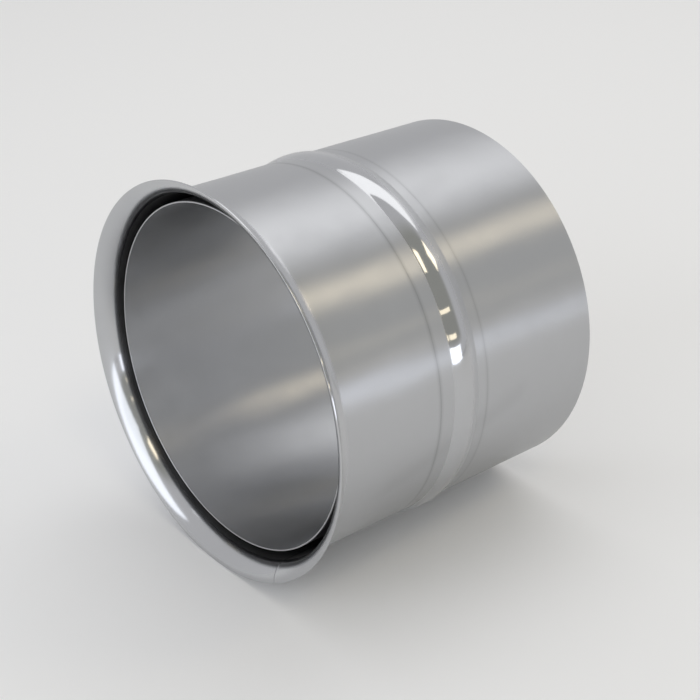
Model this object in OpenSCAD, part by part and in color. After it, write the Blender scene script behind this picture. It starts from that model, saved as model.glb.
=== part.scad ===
// Double-skinned flue wall sleeve, built into a wall with its axis level.
// The stove pipe's end pushes into the ring-shaped gap between the two sleeves.
// Origin: centre of the flared rim's front plane. +Y runs along the axis into the wall, +Z is up.

/* [Outer sleeve] */
// Outside diameter of the plain tube
sleeve_d = 153.2; // [110:0.1:260]
// Length from the rim's front edge to the rear end
sleeve_l = 137.5; // [100:0.5:260]
// Sheet thickness
outer_t = 0.6; // [0.4:0.05:1]

/* [Flared rim] */
// Radius of the bend, on the back of the rim
flare_r = 8.6; // [4:0.1:14]
// How far the sheet turns outwards, in degrees
flare_turn = 75; // [30:1:88]

/* [Rolled bead] */
// Distance from the rim's front edge to the crest
bead_pos = 68; // [35:0.5:110]
// Width from foot to foot
bead_w = 13.5; // [8:0.5:24]
// Height of the crest above the tube
bead_h = 1.6; // [0.6:0.1:3]
// Radius of the bend at each foot
bead_foot_r = 2.4; // [1:0.1:4]

/* [Inner sleeve] */
// Width of the gap between the two sleeves, which takes the pipe's wall
pipe_gap = 3.5; // [2:0.1:4.8]
// Sheet thickness
inner_t = 0.6; // [0.4:0.05:1]
// How far the front edge lies behind the rim's front edge
inner_setback = 8.7; // [0:0.1:40]

/* [Rear joint] */
// Length of the widened end that sits in the outer sleeve's bore
seat_l = 6; // [3:0.5:20]
// Length of the step between the tube and the widened end
step_l = 7.4; // [5:0.1:15]
// Clearance between the widened end and the bore
seat_play = 0.05; // [0:0.01:0.3]

/* [Hidden] */
$fn = 192;

// Outer sleeve: radii of the sheet, and where the flare ends
outer_r = sleeve_d / 2;
bore_r = outer_r - outer_t;
flare_l = (flare_r + outer_t) * sin(flare_turn);

// Inner sleeve: radius of the tube, and radius and start of the widened end
tube_r = bore_r - pipe_gap;
seat_r = bore_r - seat_play;
seat_start = sleeve_l - seat_l;

// In the sections below, x is the radius from the sleeve's axis and y runs along the axis

// Straight run of sheet with its outside at the given radius, between two places along the axis
module run(r, thickness, from, to) {
    polygon([[r - thickness, from], [r, from], [r, to], [r - thickness, to]]);
}

// Sheet bent round a centre, cut to what lies inside the polygon of the corners
module arc(centre, r_small, thickness, corners) {
    intersection() {
        difference() {
            translate(centre)
                circle(r = r_small + thickness);
            translate(centre)
                circle(r = r_small);
        }
        polygon(corners);
    }
}

// Sum of the radii of two arcs that together climb by a height over a length, level at both ends
function arcs_sum(height, length) = (height * height + length * length) / (2 * height);

// Sheet that climbs in two arcs from start, a point on its outside, by climb_by.
// The arcs meet on the line between their centres, so each runs smoothly into the next.
module climb(start, climb_by, low_r, thickness) {
    high_r = arcs_sum(climb_by[0], climb_by[1]) - low_r;
    low_centre = [low_r, 0];
    high_centre = climb_by - [high_r, 0];
    reach = 3 * (low_r + high_r);
    translate(start) {
        arc(low_centre, low_r, thickness,
            [low_centre, high_centre, [-reach, climb_by[1]], [-reach, 0]]);
        arc(high_centre, high_r - thickness, thickness,
            [high_centre, low_centre, [reach, 0], [reach, climb_by[1]]]);
        // Small overlap inside the sheet, so that the arcs join
        translate(low_centre + (high_centre - low_centre) * (low_r + thickness / 2) / (low_r + high_r))
            rotate(2 * atan(climb_by[0] / climb_by[1]))
                square(thickness / 2, center = true);
    }
}

// Flared rim: sheet bent outwards round a ring behind it, up to the tube's front
module flare() {
    reach = 3 * (flare_r + outer_t);
    translate([outer_r + flare_r, flare_l])
        arc([0, 0], flare_r, outer_t,
            [[0, 0], for (turn = [0, flare_turn / 2, flare_turn]) -reach * [cos(turn), sin(turn)]]);
}

// Section of the outer sleeve, from the rim's edge to the rear end
module outer_section() {
    half_bead = bead_w / 2;
    flare();
    run(outer_r, outer_t, flare_l, bead_pos - half_bead);
    for (side = [-1, 1])
        climb([outer_r, bead_pos + side * half_bead], [bead_h, -side * half_bead], bead_foot_r, outer_t);
    run(outer_r, outer_t, bead_pos + half_bead, sleeve_l);
}

// Section of the inner sleeve, from its front edge to the rear end
module inner_section() {
    step_h = seat_r - tube_r;
    step_r = (arcs_sum(step_h, step_l) - inner_t) / 2;
    run(tube_r, inner_t, inner_setback, seat_start - step_l);
    climb([tube_r, seat_start - step_l], [step_h, step_l], step_r, inner_t);
    run(seat_r, inner_t, seat_start, sleeve_l);
}

// Turns a section round the level axis, front at y = 0
module turned() {
    rotate([-90, 0, 0])
        rotate_extrude()
            children();
}

// Outer sleeve: rolled tube with a flared front rim and one outward bead
module outer_sleeve() {
    color("silver")
        turned() outer_section();
}

// Inner sleeve: rolled tube, widened at the rear to seat in the outer sleeve
module inner_sleeve() {
    color("darkgray")
        turned() inner_section();
}

outer_sleeve();
inner_sleeve();
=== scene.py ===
import math

import bpy
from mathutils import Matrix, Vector


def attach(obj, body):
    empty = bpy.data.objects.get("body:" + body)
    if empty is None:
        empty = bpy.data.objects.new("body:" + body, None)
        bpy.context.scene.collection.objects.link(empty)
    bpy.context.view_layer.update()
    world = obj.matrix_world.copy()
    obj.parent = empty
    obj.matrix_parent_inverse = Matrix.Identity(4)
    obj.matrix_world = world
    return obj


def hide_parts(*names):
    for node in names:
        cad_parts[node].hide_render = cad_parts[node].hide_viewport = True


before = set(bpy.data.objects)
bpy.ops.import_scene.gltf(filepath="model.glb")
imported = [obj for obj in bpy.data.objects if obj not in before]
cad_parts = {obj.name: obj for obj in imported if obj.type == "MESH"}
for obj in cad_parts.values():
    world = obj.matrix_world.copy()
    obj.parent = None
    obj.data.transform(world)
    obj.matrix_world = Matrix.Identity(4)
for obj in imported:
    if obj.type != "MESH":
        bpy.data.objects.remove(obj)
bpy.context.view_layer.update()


# Outer sleeve
# A rolled and seam-welded tube of thin stainless sheet. Its front is turned out to a flared rim,
# and one outward bead is rolled round its middle, which stiffens it and stops it in the wall.
OUTER_RADIUS = 76.6
SLEEVE_LENGTH = 137.5
SHEET = 0.6
FLARE_RADIUS = 8.6
FLARE_TURN = 75
BEAD_PLACE = 68.0
BEAD_WIDTH = 13.5
BEAD_HEIGHT = 1.6
BEAD_FOOT_RADIUS = 2.4
CUT_EDGE_RADIUS = 0.12
ROLLER_MARKS = (54.6, 79.2)
OUTER_SEAM_ANGLE = 150.2
COLUMNS = 360


def bend(centre, radius, start, end, steps):
    """Points round a bend of a section, between two angles from the outward direction."""
    points = []
    for step in range(steps + 1):
        angle = math.radians(start + (end - start) * step / steps)
        points.append((centre[0] + radius * math.cos(angle), centre[1] + radius * math.sin(angle)))
    return points


def straight(radius, start, end, spacing=3.0, margin=0.06):
    """Points along a plain stretch of tube, with one close to each end to keep the shading true."""
    side = math.copysign(margin, end - start)
    steps = max(1, round(abs(end - start) / spacing))
    inner = [start + side + (end - start - 2 * side) * step / steps for step in range(steps + 1)]
    return [(radius, place) for place in inner]


def groove(radius, place, depth, half_width, direction):
    """Points across a shallow mark that a roller leaves round a tube."""
    shape = ((-1.6, 0), (-1, 0), (-0.5, 0.6), (0, 1), (0.5, 0.6), (1, 0), (1.6, 0))
    return [(radius - depth * deep, place + direction * half_width * along) for along, deep in shape]


def turned_sheet(name, section, seam_angle, seam_depth, waves):
    """Mesh of a closed section turned round the sleeve's axis, with a fine weld seam along it."""
    seam_offsets = (-0.9, -0.45, -0.25, -0.1, 0, 0.1, 0.25, 0.45, 0.9)
    seam_shape = (0, 0, 0.35, 1, 1.1, 1, 0.35, 0, 0)
    columns = [(seam_angle + math.degrees(offset / OUTER_RADIUS), shape)
               for offset, shape in zip(seam_offsets, seam_shape)]
    columns += [(seam_angle + 360 * step / COLUMNS, 0) for step in range(2, COLUMNS - 1)]
    points = []
    for angle, dip in columns:
        turn = math.radians(angle)
        for radius, place in section:
            fade = min(1, max(0, (place - 12) / 20)) * min(1, max(0, (112 - place) / 15))
            wave = sum(size * math.sin(lobes * turn + place / pitch + start)
                       for size, lobes, pitch, start in waves)
            true_radius = radius + fade * wave - dip * seam_depth
            points.append((true_radius * math.sin(turn) / 1000, place / 1000,
                           true_radius * math.cos(turn) / 1000))
    size = len(section)
    faces = []
    for column in range(len(columns)):
        here = column * size
        there = (column + 1) % len(columns) * size
        for row in range(size):
            after = (row + 1) % size
            faces.append((here + row, there + row, there + after, here + after))
    mesh = bpy.data.meshes.new(name)
    mesh.from_pydata(points, [], faces)
    mesh.shade_smooth()
    piece = bpy.data.objects.new(name, mesh)
    bpy.context.scene.collection.objects.link(piece)
    return piece


bore_radius = OUTER_RADIUS - SHEET
front_radius = FLARE_RADIUS + SHEET
flare_length = front_radius * math.sin(math.radians(FLARE_TURN))
flare_centre = (OUTER_RADIUS + FLARE_RADIUS, flare_length)
bead_slope = 2 * math.degrees(math.atan(2 * BEAD_HEIGHT / BEAD_WIDTH))
crest_radius = BEAD_WIDTH / 2 / math.sin(math.radians(bead_slope)) - BEAD_FOOT_RADIUS
bead_start = BEAD_PLACE - BEAD_WIDTH / 2
bead_end = BEAD_PLACE + BEAD_WIDTH / 2
crest_centre = (OUTER_RADIUS + BEAD_HEIGHT - crest_radius, BEAD_PLACE)
foot_centres = [(OUTER_RADIUS + BEAD_FOOT_RADIUS, place) for place in (bead_start, bead_end)]


def bead_points(shift, start, end):
    """Points over the bead, on the outside or, shifted by the sheet, in the bore."""
    foot, crest = BEAD_FOOT_RADIUS + shift, crest_radius - shift
    return (bend(foot_centres[0], foot, 180, 180 - bead_slope, 8)[:-1]
            + bend(crest_centre, crest, -bead_slope, bead_slope, 22)
            + bend(foot_centres[1], foot, 180 + bead_slope, 180, 8)[1:])


edge_angle = 180 + FLARE_TURN
edge_turn = math.radians(edge_angle)


def rim_point(radius, back):
    """A point of the rim's cut edge, set back from the edge along the bend."""
    angle = edge_turn - back / radius
    return (flare_centre[0] + radius * math.cos(angle), flare_centre[1] + radius * math.sin(angle))


def rounded_rim():
    """The rim's cut edge with its two corners taken off, from the front side to the back."""
    out_along = (math.cos(edge_turn), math.sin(edge_turn))
    points = []
    for step in range(5):
        turn = math.radians(90 * step / 4)
        back = CUT_EDGE_RADIUS * (1 - math.sin(turn))
        radius = front_radius - CUT_EDGE_RADIUS * (1 - math.cos(turn))
        points.append(rim_point(radius, back))
    for step in range(5):
        turn = math.radians(90 * step / 4)
        back = CUT_EDGE_RADIUS * (1 - math.cos(turn))
        radius = FLARE_RADIUS + CUT_EDGE_RADIUS * (1 - math.sin(turn))
        points.append(rim_point(radius, back))
    return points


def rounded_end(low, high, place, direction):
    """A tube's cut end with its two corners taken off, from the outer radius to the inner one."""
    corner = CUT_EDGE_RADIUS
    points = []
    for step in range(5):
        turn = math.radians(90 * step / 4)
        points.append((high - corner + corner * math.cos(turn),
                       place + direction * corner * (math.sin(turn) - 1)))
    for step in range(5):
        turn = math.radians(90 * step / 4)
        points.append((low + corner - corner * math.sin(turn),
                       place + direction * corner * (math.cos(turn) - 1)))
    return points


edge_inset = math.degrees(CUT_EDGE_RADIUS / FLARE_RADIUS)
outside = bend(flare_centre, FLARE_RADIUS, edge_angle - edge_inset - 1, 180, 30)
outside += straight(OUTER_RADIUS, flare_length, ROLLER_MARKS[0] - 0.6)
outside += groove(OUTER_RADIUS, ROLLER_MARKS[0], 0.035, 0.3, 1)
outside += straight(OUTER_RADIUS, ROLLER_MARKS[0] + 0.6, bead_start)
outside += bead_points(0, bead_start, bead_end)
outside += straight(OUTER_RADIUS, bead_end, ROLLER_MARKS[1] - 0.6)
outside += groove(OUTER_RADIUS, ROLLER_MARKS[1], 0.025, 0.3, 1)
outside += straight(OUTER_RADIUS, ROLLER_MARKS[1] + 0.6, SLEEVE_LENGTH - CUT_EDGE_RADIUS)
outside += rounded_end(bore_radius, OUTER_RADIUS, SLEEVE_LENGTH, 1)
bore = straight(bore_radius, SLEEVE_LENGTH - CUT_EDGE_RADIUS, bead_end, 6)
bore += bead_points(SHEET, bead_start, bead_end)[::-1]
bore += straight(bore_radius, bead_start, flare_length, 6)
bore += bend(flare_centre, front_radius, 180, edge_angle - edge_inset - 1, 30)
outer_section = outside + bore + rounded_rim()
sheet_waves = ((0.07, 5, 40, 0.4), (0.045, 11, 23, 1.9), (0.025, 19, 14, 4.0), (0.012, 29, 9, 2.2))
outer_sleeve = turned_sheet("outer_sleeve_sheet", outer_section, OUTER_SEAM_ANGLE, 0.12, sheet_waves)


def linear(code):
    """Linear colour of an sRGB hex value."""
    parts = [int(code[place:place + 2], 16) / 255 for place in (1, 3, 5)]
    return [part / 12.92 if part <= 0.04045 else ((part + 0.055) / 1.055) ** 2.4 for part in parts] + [1]


def add_node(tree, kind, settings=(), values=(), links=()):
    """Adds a node with its settings, the values of its sockets and the links into it."""
    node = tree.nodes.new(kind)
    for name, value in dict(settings).items():
        setattr(node, name, value)
    for socket, value in dict(values).items():
        node.inputs[socket].default_value = value
    for socket, source in dict(links).items():
        tree.links.new(source, node.inputs[socket])
    return node


# Painted shade in the ring gap between the sleeves: the gap's middle radius and how far the base colour is
# darkened there
GAP_MIDDLE = 74.25
GAP_PAINTED_SHADE = 0.35
SATIN_ROUGHNESS = 0.34
ROLLED_SMOOTH = ((61.4, 62.2, 67.5, 72.0, 0.08), (-1.0, -0.5, 6.5, 9.5, 0.15))


def sheet_material(name, colours, satin, smooth_zones, seam_angle, gap_start):
    """Bright rolled stainless sheet, satin, with smoother zones where a roller has formed it."""
    material = bpy.data.materials.new(name)
    material.use_nodes = True
    tree = material.node_tree
    tree.nodes.clear()
    place = add_node(tree, "ShaderNodeTexCoord")
    parts = add_node(tree, "ShaderNodeSeparateXYZ", links={0: place.outputs["Object"]})
    turn = add_node(tree, "ShaderNodeMath", {"operation": "ARCTAN2"},
                    links={0: parts.outputs["X"], 1: parts.outputs["Z"]})
    round_way = add_node(tree, "ShaderNodeMath", {"operation": "MULTIPLY"}, {1: OUTER_RADIUS},
                         {0: turn.outputs[0]})
    along = add_node(tree, "ShaderNodeMath", {"operation": "MULTIPLY"}, {1: 1000.0},
                     {0: parts.outputs["Y"]})
    across = add_node(tree, "ShaderNodeCombineXYZ", links={0: parts.outputs["X"], 2: parts.outputs["Z"]})
    metres_out = add_node(tree, "ShaderNodeVectorMath", {"operation": "LENGTH"},
                          links={0: across.outputs[0]})
    radius = add_node(tree, "ShaderNodeMath", {"operation": "MULTIPLY"}, {1: 1000.0},
                      {0: metres_out.outputs["Value"]})
    sheet_place = add_node(tree, "ShaderNodeCombineXYZ",
                           links={0: round_way.outputs[0], 1: along.outputs[0]})

    # Grain of the rolls, drawn out round the tube, about 0.3 mm across and 5 mm long
    grain_place = add_node(tree, "ShaderNodeVectorMath", {"operation": "MULTIPLY"},
                           {1: (0.2, 3.3, 1.0)}, {0: sheet_place.outputs[0]})
    grain = add_node(tree, "ShaderNodeTexNoise", {}, {"Scale": 1.0, "Detail": 2.0, "Roughness": 0.5},
                     {"Vector": grain_place.outputs[0]})
    # Clouding of the sheet from handling, in patches of about 15 mm
    clouds = add_node(tree, "ShaderNodeTexNoise", {}, {"Scale": 0.065, "Detail": 4.0, "Roughness": 0.55},
                      {"Vector": sheet_place.outputs[0]})
    grain_part = add_node(tree, "ShaderNodeMapRange", {},
                          {"From Min": 0.3, "From Max": 0.7, "To Min": satin - 0.02, "To Max": satin + 0.02},
                          {"Value": grain.outputs["Fac"]})
    cloud_part = add_node(tree, "ShaderNodeMapRange", {},
                          {"From Min": 0.3, "From Max": 0.7, "To Min": -0.03, "To Max": 0.03},
                          {"Value": clouds.outputs["Fac"]})
    roughness = add_node(tree, "ShaderNodeMath", {"operation": "ADD"},
                         links={0: grain_part.outputs[0], 1: cloud_part.outputs[0]})
    for rise_start, rise_end, fall_start, fall_end, smooth in smooth_zones:
        rise = add_node(tree, "ShaderNodeMapRange", {"interpolation_type": "SMOOTHSTEP"},
                        {"From Min": rise_start, "From Max": rise_end}, {"Value": along.outputs[0]})
        fall = add_node(tree, "ShaderNodeMapRange", {"interpolation_type": "SMOOTHSTEP"},
                        {"From Min": fall_start, "From Max": fall_end, "To Min": 1.0, "To Max": 0.0},
                        {"Value": along.outputs[0]})
        rolled = add_node(tree, "ShaderNodeMath", {"operation": "MULTIPLY"},
                          links={0: rise.outputs[0], 1: fall.outputs[0]})
        roughness = add_node(tree, "ShaderNodeMix", {"data_type": "FLOAT"}, {3: smooth},
                             {0: rolled.outputs[0], 2: roughness.outputs[0]})

    # Darker lines: the marks of the rollers, with a soft edge and a fine core, and the weld's heat line
    tone = add_node(tree, "ShaderNodeValue")
    tone.outputs[0].default_value = 1.0
    lines = [(along, ROLLER_MARKS[0], 1.8, 0.14), (along, ROLLER_MARKS[0], 0.35, 0.16),
             (along, ROLLER_MARKS[1], 1.6, 0.08), (along, ROLLER_MARKS[1], 0.35, 0.10)]
    lines = lines if smooth_zones else []
    lines.append((round_way, math.radians(seam_angle) * OUTER_RADIUS, 0.35, 0.5))
    for source, line_place, half_width, strength in lines:
        offset = add_node(tree, "ShaderNodeMath", {"operation": "SUBTRACT"}, {1: line_place},
                          {0: source.outputs[0]})
        distance = add_node(tree, "ShaderNodeMath", {"operation": "ABSOLUTE"}, links={0: offset.outputs[0]})
        shade = add_node(tree, "ShaderNodeMapRange", {"interpolation_type": "SMOOTHSTEP"},
                         {"From Min": 0.0, "From Max": half_width, "To Min": 1.0 - strength, "To Max": 1.0},
                         {"Value": distance.outputs[0]})
        tone = add_node(tree, "ShaderNodeMath", {"operation": "MULTIPLY"},
                        links={0: tone.outputs[0], 1: shade.outputs[0]})

    # Painted shade: the base colour is darkened on the two faces of the ring gap between the sleeves, so
    # that the gap looks dark
    gap_offset = add_node(tree, "ShaderNodeMath", {"operation": "SUBTRACT"}, {1: GAP_MIDDLE},
                          {0: radius.outputs[0]})
    gap_distance = add_node(tree, "ShaderNodeMath", {"operation": "ABSOLUTE"},
                            links={0: gap_offset.outputs[0]})
    in_gap = add_node(tree, "ShaderNodeMapRange", {"interpolation_type": "SMOOTHSTEP"},
                      {"From Min": 1.8, "From Max": 2.3, "To Min": 1.0, "To Max": 0.0},
                      {"Value": gap_distance.outputs[0]})
    past_front = add_node(tree, "ShaderNodeMapRange", {"interpolation_type": "SMOOTHSTEP"},
                          {"From Min": gap_start, "From Max": gap_start + 1.5}, {"Value": along.outputs[0]})
    before_seat = add_node(tree, "ShaderNodeMapRange", {"interpolation_type": "SMOOTHSTEP"},
                           {"From Min": 112.0, "From Max": 120.0, "To Min": 1.0, "To Max": 0.0},
                           {"Value": along.outputs[0]})
    painted_gap_shade = add_node(tree, "ShaderNodeMath", {"operation": "MULTIPLY"},
                    links={0: in_gap.outputs[0], 1: past_front.outputs[0]})
    painted_gap_shade = add_node(tree, "ShaderNodeMath", {"operation": "MULTIPLY"},
                    links={0: painted_gap_shade.outputs[0], 1: before_seat.outputs[0]})
    gap_shade = add_node(tree, "ShaderNodeMapRange", {}, {"To Min": 1.0, "To Max": GAP_PAINTED_SHADE},
                         {"Value": painted_gap_shade.outputs[0]})
    tone = add_node(tree, "ShaderNodeMath", {"operation": "MULTIPLY"},
                    links={0: tone.outputs[0], 1: gap_shade.outputs[0]})

    tint = add_node(tree, "ShaderNodeMix", {"data_type": "RGBA"},
                    {6: linear(colours[0]), 7: linear(colours[1])}, {0: clouds.outputs["Fac"]})
    colour = add_node(tree, "ShaderNodeVectorMath", {"operation": "SCALE"},
                      links={0: tint.outputs[2], "Scale": tone.outputs[0]})
    bump = add_node(tree, "ShaderNodeBump", {}, {"Strength": 0.15, "Distance": 0.00001},
                    {"Height": grain.outputs["Fac"]})
    # The grain runs round the tube, so reflections spread along it and stay sharp round it
    tangent = add_node(tree, "ShaderNodeTangent", {"direction_type": "RADIAL", "axis": "Y"})
    shader = add_node(tree, "ShaderNodeBsdfPrincipled", {},
                      {"Metallic": 1.0, "Anisotropic": 0.92, "Anisotropic Rotation": 0.25},
                      {"Base Color": colour.outputs[0], "Roughness": roughness.outputs[0],
                       "Normal": bump.outputs[0], "Tangent": tangent.outputs[0]})
    add_node(tree, "ShaderNodeOutputMaterial", links={"Surface": shader.outputs[0]})
    return material


outer_steel = sheet_material("rolled_stainless_outer", ("#bbbcbe", "#c3c4c6"), SATIN_ROUGHNESS,
                             ROLLED_SMOOTH, OUTER_SEAM_ANGLE, 5.5)
outer_sleeve.data.materials.append(outer_steel)
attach(outer_sleeve, "root")
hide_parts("outer_sleeve")


# Inner sleeve
# A second rolled tube of the same sheet, set back behind the rim. The stove pipe slides over it,
# and its rear end is widened in a step and fixed in the outer sleeve's bore.
INNER_RADIUS = 72.5
INNER_SHEET = 0.6
INNER_FRONT = 8.7
SEAT_RADIUS = 75.95
SEAT_LENGTH = 6.0
STEP_LENGTH = 7.4
INNER_SEAM_ANGLE = 80.0

seat_start = SLEEVE_LENGTH - SEAT_LENGTH
step_start = seat_start - STEP_LENGTH
step_height = SEAT_RADIUS - INNER_RADIUS
step_radii = (step_height ** 2 + STEP_LENGTH ** 2) / (2 * step_height)
step_slope = math.degrees(2 * math.atan(step_height / STEP_LENGTH))
step_radius = (step_radii - INNER_SHEET) / 2


def step_points(shift):
    """Points over the step, on the outside or, shifted by the sheet, on the inside."""
    low_centre = (INNER_RADIUS + step_radius, step_start)
    high_centre = (SEAT_RADIUS - step_radii + step_radius, seat_start)
    return (bend(low_centre, step_radius + shift, 180, 180 - step_slope, 8)[:-1]
            + bend(high_centre, step_radii - step_radius - shift, -step_slope, 0, 8))


inner_bore = INNER_RADIUS - INNER_SHEET
inner_section = rounded_end(inner_bore, INNER_RADIUS, INNER_FRONT, -1)[::-1]
inner_section += straight(INNER_RADIUS, INNER_FRONT + CUT_EDGE_RADIUS, step_start, 6)
inner_section += step_points(0)
inner_section += straight(SEAT_RADIUS, seat_start, SLEEVE_LENGTH - CUT_EDGE_RADIUS, 6)
inner_section += rounded_end(SEAT_RADIUS - INNER_SHEET, SEAT_RADIUS, SLEEVE_LENGTH, 1)
inner_section += straight(SEAT_RADIUS - INNER_SHEET, SLEEVE_LENGTH - CUT_EDGE_RADIUS, seat_start, 6)
inner_section += step_points(INNER_SHEET)[::-1]
inner_section += straight(inner_bore, step_start, INNER_FRONT + CUT_EDGE_RADIUS, 3)
inner_waves = ((0.06, 4, 36, 2.1), (0.04, 9, 25, 0.6), (0.022, 17, 15, 3.0), (0.010, 27, 9, 1.2))
inner_sleeve = turned_sheet("inner_sleeve_sheet", inner_section, INNER_SEAM_ANGLE, 0.08, inner_waves)
inner_steel = sheet_material("rolled_stainless_inner", ("#b8b9bb", "#c0c1c3"), SATIN_ROUGHNESS, (),
                             INNER_SEAM_ANGLE, INNER_FRONT + 0.2)
inner_sleeve.data.materials.append(inner_steel)
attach(inner_sleeve, "root")
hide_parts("inner_sleeve")


# Studio
# The sleeve lies on a plain pale floor, on its rim and the lower edge of its rear end.
# Soft panels, two windows and a few warm lamps stand round it.
def stage_material(name, colour, roughness):
    """Plain matt paint."""
    material = bpy.data.materials.new(name)
    material.use_nodes = True
    shader = material.node_tree.nodes["Principled BSDF"]
    shader.inputs["Base Color"].default_value = linear(colour)
    shader.inputs["Roughness"].default_value = roughness
    return material


FLOOR_CLEARANCE = 0.02
rim_edge = rim_point(FLARE_RADIUS, 0)
floor_slope = math.atan((rim_edge[0] - OUTER_RADIUS) / (SLEEVE_LENGTH - rim_edge[1]))
floor_drop = rim_edge[0] + rim_edge[1] * math.tan(floor_slope) + FLOOR_CLEARANCE
floor_mesh = bpy.data.meshes.new("floor")
half = 4.0
floor_mesh.from_pydata([(-half, -half, 0), (half, -half, 0), (half, half, 0), (-half, half, 0)], [],
                       [(0, 1, 2, 3)])
floor = bpy.data.objects.new("floor", floor_mesh)
bpy.context.scene.collection.objects.link(floor)
floor.rotation_euler = (floor_slope, 0, 0)
floor.location = (0, 0, -floor_drop / 1000)
floor_mesh.materials.append(stage_material("pale_floor", "#f3f3f3", 0.9))

world = bpy.data.worlds.new("studio")
bpy.context.scene.world = world
world.use_nodes = True
tree = world.node_tree
tree.nodes.clear()
direction = add_node(tree, "ShaderNodeTexCoord")
parts = add_node(tree, "ShaderNodeSeparateXYZ", links={0: direction.outputs["Generated"]})
side = add_node(tree, "ShaderNodeMapRange", {"interpolation_type": "SMOOTHSTEP"},
                {"From Min": 0.05, "From Max": 0.35}, {"Value": parts.outputs["X"]})
above = add_node(tree, "ShaderNodeMapRange", {"interpolation_type": "SMOOTHSTEP"},
                 {"From Min": 0.08, "From Max": 0.2}, {"Value": parts.outputs["Z"]})
before_rear = add_node(tree, "ShaderNodeMapRange", {"interpolation_type": "SMOOTHSTEP"},
                       {"From Min": 0.45, "From Max": 0.65, "To Min": 1.0, "To Max": 0.0},
                       {"Value": parts.outputs["Y"]})
unlit = add_node(tree, "ShaderNodeMath", {"operation": "MULTIPLY"},
                 links={0: side.outputs[0], 1: above.outputs[0]})
unlit = add_node(tree, "ShaderNodeMath", {"operation": "MULTIPLY"},
                 links={0: unlit.outputs[0], 1: before_rear.outputs[0]})
wall = add_node(tree, "ShaderNodeMix", {"data_type": "RGBA"},
                {6: (0.70, 0.70, 0.71, 1), 7: (0.42, 0.42, 0.39, 1)}, {0: unlit.outputs[0]})
background = add_node(tree, "ShaderNodeBackground", {}, {"Strength": 1.0},
                      {"Color": wall.outputs[2]})
add_node(tree, "ShaderNodeOutputWorld", links={"Surface": background.outputs[0]})

CENTRE = Vector((0, 0.069, 0))
WARM = (1.0, 0.86, 0.62)


def panel(name, place, size, colour, radiance):
    """A rectangular light of even brightness that faces the sleeve."""
    light = bpy.data.lights.new(name, "AREA")
    light.shape = "RECTANGLE"
    light.size, light.size_y = size
    light.color = colour
    light.energy = radiance * math.pi * size[0] * size[1]
    lamp = bpy.data.objects.new(name, light)
    lamp.location = place
    lamp.rotation_euler = (CENTRE - Vector(place)).to_track_quat("-Z", "Y").to_euler()
    bpy.context.scene.collection.objects.link(lamp)
    lamp.visible_camera = False
    return lamp


def away(azimuth, elevation, distance):
    """A place seen from the sleeve at an azimuth from the front, towards +X, and an elevation."""
    a, e = math.radians(azimuth), math.radians(elevation)
    return CENTRE + distance * Vector((math.sin(a) * math.cos(e), -math.cos(a) * math.cos(e), math.sin(e)))


overhead = panel("overhead_panel", (-0.29, 0.59, 1.15), (0.68, 1.3), (1.0, 1.0, 1.0), 0.95)
overhead.rotation_euler = (0, 0, math.radians(-28))
panel("front_window", away(10, 15, 1.6), (2.0, 1.4), (0.88, 0.92, 1.0), 1.35)
panel("side_window", away(92, 2, 1.6), (1.1, 0.3), (0.86, 0.90, 1.0), 1.8)
panel("front_lamp", away(68, 55, 1.6), (0.40, 0.36), WARM, 2.2)
panel("rear_lamp", away(138, 47, 1.6), (0.36, 0.36), WARM, 2.2)
panel("high_side_lamp", away(92, 25, 1.6), (0.90, 0.07), WARM, 1.5)
panel("low_side_lamp", away(92, 13, 1.6), (0.70, 0.07), WARM, 1.6)

# Camera
camera_data = bpy.data.cameras.new("camera")
camera_data.sensor_width = 36.0
camera_data.lens = 79.2
camera = bpy.data.objects.new("camera", camera_data)
camera.location = (0.4418, -0.2969, 0.2930)
camera.rotation_euler = Vector((-0.6788, 0.5695, -0.4635)).to_track_quat("-Z", "Y").to_euler()
bpy.context.scene.collection.objects.link(camera)
bpy.context.scene.camera = camera
bpy.context.scene.view_settings.view_transform = "Standard"
